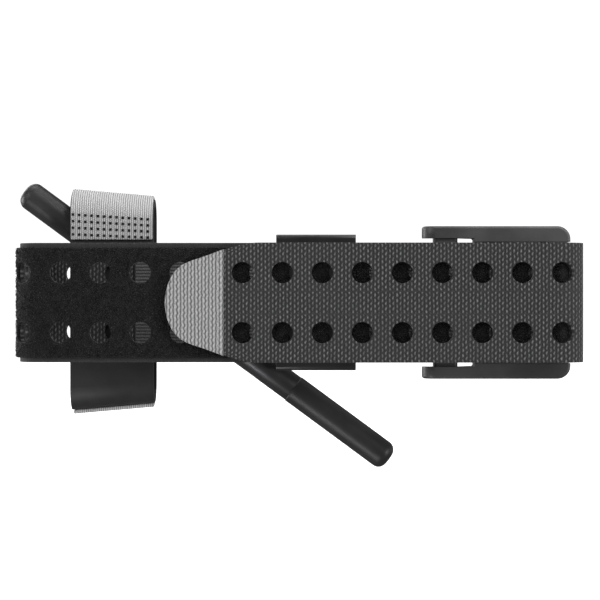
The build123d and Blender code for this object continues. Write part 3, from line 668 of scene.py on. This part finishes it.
FINISH = {
    "strap_weave": woven_dark(),
    "strap_selvedge": selvedge_plain(),
    "strap_pile": pile_black(),
    "grey_fabric": woven_grey("grey_fabric", 1.12, 1.9, 0.09, (0.13, 0.13, 0.132), (0.66, 0.66, 0.665)),
    "retention_fabric": woven_columns("retention_fabric", 0.72, 0.62,
                                      (0.34, 0.34, 0.345), (0.84, 0.84, 0.85)),
    "ribbed_webbing": ribbed("ribbed_webbing", 1.05, (0.035, 0.035, 0.036), (0.17, 0.17, 0.172)),
    "windlass_band": ribbed("windlass_band", 1.3, (0.006, 0.006, 0.006), (0.03, 0.03, 0.031)),
    "grey_thread": thread_finish("grey_thread", (0.30, 0.30, 0.30), (0.55, 0.55, 0.55)),
    "black_thread": thread_finish("black_thread", (0.006, 0.006, 0.006), (0.035, 0.035, 0.036)),
    "rod_metal": metal("rod_metal", (0.060, 0.060, 0.063), 0.30, 0.6),
    "grip_plastic": plastic("grip_plastic", (0.022, 0.022, 0.022), 0.38, 4.0, 0.04),
    "clip_plastic": plastic("clip_plastic", (0.026, 0.026, 0.0265), 0.5, 2.5, 0.03),
    "stud_plastic": plastic("stud_plastic", (0.004, 0.004, 0.004), 0.45),
    "hook_tape": plastic("hook_tape", (0.012, 0.012, 0.012), 0.6, 1.5, 0.2),
    "plate_metal": metal("plate_metal", (0.050, 0.050, 0.052), 0.30, 0.6),
    "buckle_metal": metal("buckle_metal", (0.092, 0.092, 0.095), 0.42, 0.5, 2.2, 0.03, 0.12),
    "slider_metal": metal("slider_metal", (0.08, 0.08, 0.082), 0.35, 0.7),
    "steel": metal("steel", (0.45, 0.45, 0.46), 0.25, 1.0),
}


def finish(item, slot):
    item.data.materials.clear()
    item.data.materials.append(FINISH[slot])
    return item


# ---- carried-over hard parts ----

HARD_PARTS = {
    "windlass_rod": ("rod_metal", 0.25),
    "grip_upper": ("grip_plastic", 0.0),
    "grip_lower": ("grip_plastic", 0.0),
    "windlass_clip": ("clip_plastic", 0.35),
    "weld_studs": ("stud_plastic", 0.1),
    "guide_plate": ("plate_metal", 0.2),
    "buckle_frame": ("buckle_metal", 0.3),
    "rail_cover_upper": ("buckle_metal", 0.25),
    "rail_cover_lower": ("buckle_metal", 0.25),
    "cover_screws": ("steel", 0.05),
    "slider_bar": ("slider_metal", 0.2),
    "locking_prongs": ("steel", 0.0),
    "spring_guide_rods": ("steel", 0.05),
}


def dress_hard_part(name, slot, edge):
    """Gives a CAD node its finish and softens its sharp edges."""
    item = frame["nodes"][name]
    item.data.materials.clear()
    item.data.materials.append(FINISH[slot])
    if not edge:
        return
    weld = item.modifiers.new("weld", "WELD")
    weld.merge_threshold = 0.002 * MM
    bevel = item.modifiers.new("edge", "BEVEL")
    bevel.width = edge * MM
    bevel.segments = 2
    bevel.limit_method = "ANGLE"
    bevel.angle_limit = math.radians(35)


for part, (slot_name, edge_width) in HARD_PARTS.items():
    dress_hard_part(part, slot_name, edge_width)


# ---- strap ----

def strap_piece(name, start, end, bodies, blend=None):
    """A stretch of the strap's weave and of its pile."""
    pattern = strap_pattern(start, end)
    pattern.weld()
    woven = slab(f"{name}_weave", pattern, along_strap(HALF_WIDTH), -HALF_STEP, -HALF_STEP + WEAVE)
    pile = slab(f"{name}_pile", pattern, along_strap(PILE_HALF_WIDTH), -HALF_STEP + WEAVE, HALF_STEP - 0.1)
    finish(woven, "strap_weave")
    woven.data.materials.append(FINISH["strap_selvedge"])
    plain_side(woven)
    finish(pile, "strap_pile")
    for item in (woven, pile):
        if blend:
            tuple(blend[0])
            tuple(blend[1])
            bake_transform(item)
        else:
            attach(item, bodies[0])
    return woven, pile


def plain_side(item):
    """Gives the plain selvedge look to the side of the weave that carries the pile."""
    mesh = item.data
    count = len(mesh.polygons)
    flat = np.zeros(len(mesh.loops) * 2, np.float32)
    mesh.uv_layers["flat"].data.foreach_get("uv", flat)
    first = np.zeros(count, np.int32)
    mesh.polygons.foreach_get("loop_start", first)
    distance = flat.reshape(-1, 2)[first, 0].astype(float)
    centre = np.zeros(count * 3, np.float32)
    mesh.polygons.foreach_get("center", centre)
    centre = centre.reshape(-1, 3)[:, :2] / MM
    normal = np.zeros(count * 3, np.float32)
    mesh.polygons.foreach_get("normal", normal)
    middle = STRAP_ROUTE.place(distance, np.full(count, -HALF_STEP + WEAVE / 2))
    pile_way = STRAP_ROUTE.place(distance, np.full(count, HALF_STEP)) - middle
    pile_way /= np.linalg.norm(pile_way, axis=1)[:, None]
    faces_pile = (normal.reshape(-1, 3)[:, :2] * pile_way).sum(1) > 0.5
    plain = faces_pile & (((centre - middle) * pile_way).sum(1) > 0.2)
    mesh.polygons.foreach_set("material_index", plain.astype(np.int32))


def cell_line(distance):
    """The cell boundary nearest to a distance along the strap."""
    return CELL_START + HOLE_PITCH * round((distance - CELL_START) / HOLE_PITCH)


TURN_START = cell_line(STRAP_ROUTE.distance_to_part(8) + 4.5)
TURN_END = cell_line(STRAP_ROUTE.distance_to_part(12) + 22.7)
inner_weave, inner_pile = strap_piece("strap_inner", 0.0, TURN_START, ["loop"])
strap_piece(
    "strap_turn", TURN_START, TURN_END, ["slider", "loop"],
    blend=((0.0605, 0, 0), (0.0790, 0, 0)),
)
outer_weave, outer_pile = strap_piece(
    "strap_outer", TURN_END, STRAP_ROUTE.length, ["loop", "tail"],
    blend=((0.0200, 0, 0), (0.0050, 0, 0)),
)
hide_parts("main_strap")
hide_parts("strap_pile")
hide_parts("strap_tail")
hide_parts("tail_pile")


# ---- pile fuzz ----

def fuzz(name, place, bounds, per_mm2, keep, seed):
    """Small thread loops that stand out of the pile, in one mesh."""
    draw = np.random.default_rng(seed)
    (low, high), (left, right) = bounds
    count = int((high - low) * (right - left) * per_mm2)
    base = np.column_stack([draw.uniform(low, high, count), draw.uniform(left, right, count)])
    base = base[keep(base[:, 0], base[:, 1])]
    count = len(base)
    turn = draw.uniform(0, 2 * math.pi, count)
    reach = draw.uniform(0.25, 0.55, count)
    height = draw.uniform(0.22, 0.50, count)
    lean = draw.uniform(-0.3, 0.3, count)
    thick = draw.uniform(0.055, 0.085, count)
    stations = np.linspace(0, math.pi, FUZZ_STATIONS)
    rim = np.linspace(0, 2 * math.pi, 4)[:-1]
    vertices = []
    for station in stations:
        run = -np.cos(station) * reach
        rise = np.sin(station) * height
        slope = np.arctan2(np.cos(station) * height, np.sin(station) * reach)
        for corner in rim:
            side = np.cos(corner) * thick + np.sin(station) * lean
            up = np.sin(corner) * thick
            along = run - np.sin(slope) * up
            distance = base[:, 0] + np.cos(turn) * along - np.sin(turn) * side
            width = base[:, 1] + np.sin(turn) * along + np.cos(turn) * side
            offset = HALF_STEP - 0.15 + rise + np.cos(slope) * up
            vertices.append(place(distance, width, offset))
    vertices = np.stack(vertices, axis=1).reshape(-1, 3)
    flat = np.repeat(base, FUZZ_STATIONS * 3, axis=0)
    faces = []
    for loop in range(count):
        first = loop * FUZZ_STATIONS * 3
        for station in range(FUZZ_STATIONS - 1):
            ring = first + station * 3
            for i in range(3):
                j = (i + 1) % 3
                faces.append((ring + i, ring + j, ring + 3 + j, ring + 3 + i))
        last = first + (FUZZ_STATIONS - 1) * 3
        faces.append((first + 2, first + 1, first))
        faces.append((last, last + 1, last + 2))
    return finish(new_object(name, vertices * MM, faces, flat), "strap_pile")


FUZZ_STATIONS = 4


def off_holes(distance, width):
    """True for places of the pile that aren't in one of its holes."""
    along = (distance - FIRST_HOLE + HOLE_PITCH / 2) % HOLE_PITCH - HOLE_PITCH / 2
    return np.hypot(along, np.abs(width) - HOLE_ROW) > HOLE_RADIUS + 0.15


def under_outer_hole(distance, width):
    """True for places of the back layer's pile that show through the outer layer's holes."""
    along = distance % HOLE_PITCH - (FIRST_HOLE + HOLE_PITCH / 2) % HOLE_PITCH
    along = (along + HOLE_PITCH / 2) % HOLE_PITCH - HOLE_PITCH / 2
    rim = (distance - FIRST_HOLE + HOLE_PITCH / 2) % HOLE_PITCH - HOLE_PITCH / 2
    overhang = np.hypot(rim, np.abs(width) - HOLE_ROW) > HOLE_RADIUS - 0.9
    return overhang & (np.hypot(along, np.abs(width) - HOLE_ROW) < HOLE_RADIUS + 0.9)


PEEL = STRAP_ROUTE.length - (TAIL_HIGH[0] - TIP_X)
OPEN_PILE_END = BACK_RUN + 13.0 - BACK_RUN_X
HIDDEN_PILE_END = STRAP_ROUTE.distance_to_part(5)
edge_of_pile = PILE_HALF_WIDTH - 0.3
PILE_EDGES = (-edge_of_pile, edge_of_pile)
open_fuzz = fuzz("strap_inner_fuzz", along_strap(HALF_WIDTH),
                 ((1.0, OPEN_PILE_END), PILE_EDGES), 2.2, off_holes, SEED)
hole_fuzz = fuzz("strap_hole_fuzz", along_strap(HALF_WIDTH),
                 ((OPEN_PILE_END, HIDDEN_PILE_END), PILE_EDGES), 7.0, under_outer_hole, SEED + 1)
tail_fuzz = fuzz("strap_tail_fuzz", along_strap(PILE_HALF_WIDTH - 0.5),
                 ((PEEL + 8.5, STRAP_ROUTE.length - 1.0), PILE_EDGES), 1.6, off_holes, SEED + 2)
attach(open_fuzz, "loop")
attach(hole_fuzz, "loop")
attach(tail_fuzz, "tail")


# ---- pull tab ----

def pull_tab():
    """Light cloth over the strap's round tip, a little proud of the weave, with a folded straight edge."""
    proud = 0.22
    pattern = Pattern()
    lines = np.linspace(-1, 1, 41)
    start = STRAP_ROUTE.length - (TAB_EDGE_X - TIP_X)
    steps = start + (TAB_EDGE_X - TIP_X + proud) * np.sin(np.linspace(0, math.pi / 2, 29))
    pattern.grid(steps, lines)
    points = np.array(pattern.points)

    def place(distance, share, offset):
        x = strap_x(distance)
        inner_x = TIP_X + (x - TIP_X + proud) * (TAB_EDGE_X - TIP_X) / (TAB_EDGE_X - TIP_X + proud)
        z = share * (tongue_half_width(inner_x) + proud)
        crown = -0.10 * (1 - share**2)
        return np.column_stack([x, -OUTER_Y - offset * -1 + crown, z])

    x = strap_x(points[:, 0])
    uv = np.column_stack([points[:, 0], points[:, 1] * (tongue_half_width(np.maximum(x, TIP_X)) + proud)])
    face = -HALF_STEP
    item = slab("pull_tab_cloth", pattern, place, face - proud, face + 0.45, uv, edge=0.2)
    finish(item, "grey_fabric")
    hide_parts("pull_tab")
    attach(item, "tail")


pull_tab()


# ---- thread ----

def stitch_row(node, slot, body, lift=0.0):
    """Rounded stitches where the CAD node has its plain ones."""
    source = frame["nodes"][node].data
    work = bmesh.new()
    work.from_mesh(source)
    bmesh.ops.remove_doubles(work, verts=work.verts, dist=0.001 * MM)
    left = set(work.verts)
    vertices, faces = [], []
    while left:
        island, queue = [], [left.pop()]
        while queue:
            vertex = queue.pop()
            island.append(np.array(vertex.co) / MM)
            for edge in vertex.link_edges:
                other = edge.other_vert(vertex)
                if other in left:
                    left.remove(other)
                    queue.append(other)
        island = np.array(island)
        centre = (island.min(0) + island.max(0)) / 2
        size = island.max(0) - island.min(0)
        add_stitch(vertices, faces, centre, size, lift)
    work.free()
    item = new_object(f"{node}_thread", np.array(vertices) * MM, faces)
    tidy_normals(item)
    finish(item, slot)
    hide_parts(node)
    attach(item, body)
    return item


def add_stitch(vertices, faces, centre, size, lift):
    """One stitch: a short round thread whose ends dive into the cloth."""
    along = 0 if size[0] > size[2] else 2
    across = 2 - along
    stations, sides = 7, 8
    base = len(vertices)
    for i in range(stations):
        share = i / (stations - 1) * 2 - 1
        radius = 0.24 * math.sqrt(max(1 - share**4, 0.04))
        for j in range(sides):
            turn = 2 * math.pi * j / sides
            point = np.array(centre, float)
            point[along] += share * size[along] / 2
            point[across] += radius * math.cos(turn)
            point[1] += radius * math.sin(turn) * 0.8 + lift * (1 - share**2)
            vertices.append(point)
    for i in range(stations - 1):
        for j in range(sides):
            a = base + i * sides + j
            b = base + i * sides + (j + 1) % sides
            faces.append((a, b, b + sides, a + sides))
    faces.append(tuple(base + j for j in reversed(range(sides))))
    last = base + (stations - 1) * sides
    faces.append(tuple(last + j for j in range(sides)))


stitch_row("tab_stitches", "grey_thread", "tail", -0.15)
stitch_row("joint_stitches", "black_thread", "loop")
stitch_row("loop_stitches", "black_thread", "loop")
stitch_row("band_stitches", "black_thread", "loop")
stitch_row("clip_stitches", "black_thread", "loop")


# ---- base webbing ----

RIB_PITCH = 1.05
RIB_DEPTH = 0.22
WEBBING_TOP_Y = 12.4
CROSSBAR_Y = 13.9
FOLD_X = (43.2, 38.5, 30.0)         # where the fold leaves the bar, lies flat, and ends
PLAIN_RUN = 98.0                    # the webbing is straight for this long


def webbing():
    """Ribbed webbing from under the clip to the buckle, folded round the crossbar."""
    low = WEBBING_LOW[1]
    ply = WEBBING_TOP_Y - low
    middle = low + ply / 2
    bend = CROSSBAR_Y - middle
    right = WEBBING_HIGH[0] - ply / 2
    folded = middle + ply + 0.05
    route = Route(
        [(WEBBING_LOW[0], middle), (right, middle), (right, middle + 2 * bend),
         (FOLD_X[0], middle + 2 * bend), (FOLD_X[1], folded), (FOLD_X[2], folded)],
        [bend, bend, 5.0, 5.0],
    )
    pattern = Pattern()
    ridges = int(round(2 * HALF_WIDTH / RIB_PITCH))
    widths = np.linspace(-HALF_WIDTH, HALF_WIDTH, ridges * 4 + 1)
    steps = np.concatenate([spread(0, PLAIN_RUN, 4.0), spread(PLAIN_RUN, route.length, 0.6)[1:]])
    pattern.grid(steps, widths)
    ridge = np.abs(np.sin(np.array(pattern.points)[:, 1] / (2 * HALF_WIDTH) * ridges * math.pi)) ** 0.7

    def place(distance, width, offset):
        profile = route.place(distance, offset)
        return np.column_stack([profile[:, 0], profile[:, 1], width])

    half = ply / 2 - RIB_DEPTH * (1 - ridge)
    item = slab("base_webbing_cloth", pattern, place, -half, half, edge=0.0)
    finish(item, "ribbed_webbing")
    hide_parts("base_webbing")
    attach(item, "loop")


webbing()


# ---- windlass band ----

def rod_frame():
    """Centre of the rod, its direction towards the clip, and the direction down across the band."""
    joint = next(j for j in frame["joints"] if j["child"] == "windlass")
    centre = np.array(joint["pos_m"], float) / MM
    angle = math.radians(ROD_ANGLE)
    along = np.array([-math.cos(angle), 0.0, math.sin(angle)])
    down = np.array([-math.sin(angle), 0.0, -math.cos(angle)])
    return centre, along, down


ROD_ANGLE = 36.35
BAND = 1.1
SLOT_HALF = 9.0


def bezier(points, share):
    """Cubic curve through numpy arrays of control values."""
    a, b, c, d = points
    rest = 1 - share
    return rest**3 * a + 3 * rest**2 * share * b + 3 * rest * share**2 * c + share**3 * d


def band_side(name, flat_x, gather_x, middle_y, side):
    """One side of the windlass band: a flat run that gathers and twists into the rod's slot."""
    centre, along, down = rod_frame()
    pattern = Pattern()
    widths = np.linspace(-1, 1, 49)
    flat_steps = np.linspace(0, 1, 9)
    gather_steps = 1 + np.linspace(0, 1, 33)[1:]
    pattern.grid(np.concatenate([flat_steps, gather_steps]), widths)
    points = np.array(pattern.points)
    half = BAND_HIGH[2]

    def middle_surface(step, share):
        flat = np.clip(step, 0, 1)
        gather = np.clip(step - 1, 0, 1)
        x = flat_x + (gather_x - flat_x) * flat
        z = share * half
        start_a = (x - centre[0]) * along[0] + (z - centre[2]) * along[2]
        start_d = (x - centre[0]) * down[0] + (z - centre[2]) * down[2]
        end_a = share * SLOT_HALF
        ease = gather * gather * (3 - 2 * gather)
        a = start_a + (end_a - start_a) * ease
        d = bezier([start_d, np.full_like(start_d, 8.0 * side), np.full_like(start_d, 7.0 * side),
                    np.full_like(start_d, 3.0 * side)], gather)
        y = bezier([middle_y, middle_y + 0.2, centre[1], centre[1]], gather)
        pleat = np.sin(share * math.pi * 3.5 + side) * gather**2 * (1 - gather) * 2.2
        place_x = centre[0] + a * along[0] + d * down[0]
        place_z = centre[2] + a * along[2] + d * down[2]
        return np.column_stack([place_x, y + pleat * 0.8, place_z])

    def place(step, share, offset):
        point = middle_surface(step, share)
        along_step = middle_surface(step + 1e-3, share) - middle_surface(step - 1e-3, share)
        across_step = middle_surface(step, share + 1e-3) - middle_surface(step, share - 1e-3)
        normal = np.cross(along_step, across_step) * side
        normal /= np.maximum(np.linalg.norm(normal, axis=1), 1e-12)[:, None]
        return point + normal * offset[:, None]

    uv = np.column_stack([points[:, 0] * 20, points[:, 1] * half])
    item = slab(name, pattern, place, -BAND / 2, BAND / 2, uv, edge=0.15)
    finish(item, "windlass_band")
    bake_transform(item)
    return item


def band_in_slot():
    """The stretch of band through the rod."""
    centre, along, down = rod_frame()
    pattern = Pattern()
    pattern.grid(np.linspace(-3.2, 3.2, 7), np.linspace(-SLOT_HALF, SLOT_HALF, 25))

    def place(d, a, offset):
        swell = 0.12 * np.sin(a * 1.9)
        return centre + d[:, None] * down + a[:, None] * along + np.outer(offset + swell, (0, 1, 0))

    item = slab("band_in_slot", pattern, place, -BAND / 2, BAND / 2)
    finish(item, "windlass_band")
    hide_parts("band_loop")
    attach(item, "windlass")


left_band = band_side("windlass_band_left", BAND_LOW[0], -46.0, 14.75 + BAND / 2, 1)
band_side("windlass_band_right", BAND_HIGH[0], -13.0, 12.5 + BAND / 2, -1)
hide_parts("inner_band")
band_in_slot()


# ---- retention strap ----

CHANNEL_Y = (CLIP_LOW[1] + CLIP_HIGH[1]) / 2
RETAINER = 1.3
FLAP_TOP_Z = 24.5
CLIP_TAPER = 2.4 / (CLIP_HIGH[0] - CLIP_LOW[0])     # fall of the clip's half height along X


def clip_taper(x):
    """How much lower than at its middle the clip's top stands at x; the bottom mirrors it."""
    return -(x - (CLIP_LOW[0] + CLIP_HIGH[0]) / 2) * CLIP_TAPER


def retention_cloth(name, node, route, upper, end_z):
    """Cloth round one hook of the clip, following its taper; end_z is the straight end's height."""
    low, high = box_mm(node)
    pattern = Pattern()
    pattern.grid(spread(0, route.length, 0.55), np.linspace(low[0], high[0], 37))
    lift = 1 if upper else -1

    def place(distance, x, offset):
        profile = route.place(distance, offset)
        share = np.clip((profile[:, 1] - end_z) / (route.bend_z - end_z), 0, 1)
        z = profile[:, 1] + lift * clip_taper(x) * share
        return np.column_stack([x, profile[:, 0], z])

    return slab(name, pattern, place, -RETAINER / 2, RETAINER / 2, edge=0.35)


def retention_strap():
    """The part fixed to the clip's near face and over its top."""
    low, high = RETAINER_LOW, RETAINER_HIGH
    middle = (high[1] - low[1]) / 2 - RETAINER / 2
    centre_y = (high[1] + low[1]) / 2
    top = high[2] - 1.2 - RETAINER / 2
    route = Route(
        [(centre_y - middle, low[2]), (centre_y - middle, top), (centre_y + middle, top),
         (centre_y + middle, FLAP_TOP_Z)],
        [middle, middle],
    )
    route.bend_z = top - middle
    item = retention_cloth("retention_strap_cloth", "retention_strap", route, True, low[2])
    finish(item, "retention_fabric")
    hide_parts("retention_strap")
    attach(item, "loop")


def retention_flap():
    """The closing part, down the clip's outer side and under its bottom."""
    low, high = FLAP_LOW, FLAP_HIGH
    middle = high[1] - RETAINER / 2 - CHANNEL_Y
    bottom = low[2] + 1.2 + RETAINER / 2
    centre_z = bottom + middle
    wrap = math.radians(95.0)
    outer_y = CHANNEL_Y + middle
    corner = (outer_y, centre_z - middle * math.tan(wrap / 2))
    end = np.array([CHANNEL_Y + middle * math.cos(wrap), centre_z - middle * math.sin(wrap)])
    end += np.array([-math.sin(wrap), -math.cos(wrap)]) * 0.05
    route = Route([(outer_y, high[2]), corner, tuple(end)], [middle])
    route.bend_z = centre_z
    item = retention_cloth("retention_flap_cloth", "retention_flap", route, False, high[2])
    finish(item, "retention_fabric")
    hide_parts("retention_flap")
    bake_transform(item)


retention_strap()
retention_flap()


# ---- slider springs and hook patch ----


def spring(name):
    """A steel wire coil in the CAD spring's place; on the real buckle the spring squashes against the frame
    as the slider is pressed.
    """
    low, high = box_mm(name)
    centre = (low + high) / 2
    wire = SPRING_WIRE / 2
    radius = (high[1] - low[1]) / 2 - wire
    stations, sides = SPRING_TURNS * 20 + 1, 8
    turn = np.linspace(0, SPRING_TURNS * 2 * math.pi, stations)
    run = np.linspace(low[0] + wire, high[0] - wire, stations)
    vertices, faces = [], []
    for x, angle in zip(run, turn):
        for j in range(sides):
            corner = 2 * math.pi * j / sides
            out = radius + wire * math.cos(corner)
            vertices.append((x + wire * math.sin(corner), centre[1] + out * math.cos(angle),
                             centre[2] + out * math.sin(angle)))
    for i in range(stations - 1):
        for j in range(sides):
            a, b = i * sides + j, i * sides + (j + 1) % sides
            faces.append((a, b, b + sides, a + sides))
    last = (stations - 1) * sides
    faces.append(tuple(reversed(range(sides))))
    faces.append(tuple(last + j for j in range(sides)))
    item = tidy_normals(new_object(f"{name}_coil", np.array(vertices) * MM, faces), 60.0)
    finish(item, "steel")
    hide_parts(name)
    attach(item, "loop")
    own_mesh(item)


SPRING_TURNS = 9
SPRING_WIRE = 0.5
for spring_name in ("slider_spring_upper", "slider_spring_lower"):
    spring(spring_name)
dress_hard_part("hook_patch", "hook_tape", 0.05)


# ---- stage, light and camera ----

def area_light(name, place, target, size, power):
    light = bpy.data.lights.new(name, "AREA")
    light.shape = "RECTANGLE"
    light.size, light.size_y = size
    light.energy = power
    item = bpy.data.objects.new(name, light)
    bpy.context.scene.collection.objects.link(item)
    item.location = place
    item.rotation_euler = (Vector(target) - Vector(place)).to_track_quat("-Z", "Y").to_euler()
    return item


def stage():
    """White table under the rod's lowest tip, and a white surround."""
    floor_z = cad_box[0][2] - 0.0005
    mesh = bpy.data.meshes.new("table")
    reach = 6.0
    corners = [(-reach, -reach), (reach, -reach), (reach, reach), (-reach, reach)]
    mesh.from_pydata([(x, y, floor_z) for x, y in corners], [], [(0, 1, 2, 3)])
    table = bpy.data.objects.new("table", mesh)
    bpy.context.scene.collection.objects.link(table)
    white = Shade("table_white", Base_Color=(0.9, 0.9, 0.9, 1), Roughness=0.9)
    white.shader.inputs["Emission Color"].default_value = (1, 1, 1, 1)
    white.shader.inputs["Emission Strength"].default_value = 0.98
    mesh.materials.append(white.material)
    table.visible_diffuse = False
    table.visible_glossy = False
    table.visible_shadow = False
    table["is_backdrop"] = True

    world = bpy.data.worlds.new("studio")
    bpy.context.scene.world = world
    world.use_nodes = True
    tree = world.node_tree
    back = tree.nodes["Background"]
    seen = tree.nodes.new("ShaderNodeBackground")
    seen.inputs[0].default_value = (1, 1, 1, 1)
    seen.inputs[1].default_value = 1.1
    back.inputs[0].default_value = (1, 1, 1, 1)
    back.inputs[1].default_value = 0.14
    path = tree.nodes.new("ShaderNodeLightPath")
    mix = tree.nodes.new("ShaderNodeMixShader")
    tree.links.new(path.outputs["Is Camera Ray"], mix.inputs[0])
    tree.links.new(back.outputs[0], mix.inputs[1])
    tree.links.new(seen.outputs[0], mix.inputs[2])
    tree.links.new(mix.outputs[0], tree.nodes["World Output"].inputs[0])

    area_light("left_box", (-0.75, -0.75, 0.35), (0, 0, 0), (0.6, 0.6), 3.4)
    area_light("right_box", (0.85, -0.60, 0.15), (0, 0, 0), (0.5, 0.7), 1.9)
    area_light("top_box", (0.0, 0.05, 0.95), (0, 0, 0), (0.9, 0.5), 4.5)
    area_light("left_wing", (-0.95, 0.30, -0.03), (0, 0, 0), (0.5, 0.5), 4.5)
    area_light("right_wing", (0.95, 0.30, 0.05), (0, 0, 0), (0.5, 0.5), 0.5)
    area_light("back_box", (-0.5, 0.85, 0.5), (0, 0, 0), (0.7, 0.6), 3.5)
    area_light("low_box", (-0.48, -0.59, -0.65), (0, 0, 0), (0.30, 0.30), 2.6)
    area_light("high_box", (0.48, -0.59, 0.65), (0, 0, 0), (0.30, 0.30), 2.6)
    area_light("grip_box", (0.90, -0.50, -0.04), (0, 0, 0), (0.25, 0.25), 1.6)
    bpy.context.scene.view_settings.view_transform = "Standard"


def camera():
    lens = bpy.data.cameras.new("camera")
    lens.sensor_width = 36.0
    lens.lens = 113.6
    lens.clip_start = 0.01
    item = bpy.data.objects.new("camera", lens)
    bpy.context.scene.collection.objects.link(item)
    item.location = (0.0, -0.61705, 0.00082)
    item.rotation_euler = (math.pi / 2, 0, 0)
    bpy.context.scene.camera = item


stage()
camera()

boxes = {"cad": cad_box, "visual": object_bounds()}
{k: [list(corner) for corner in v] for k, v in boxes.items()}
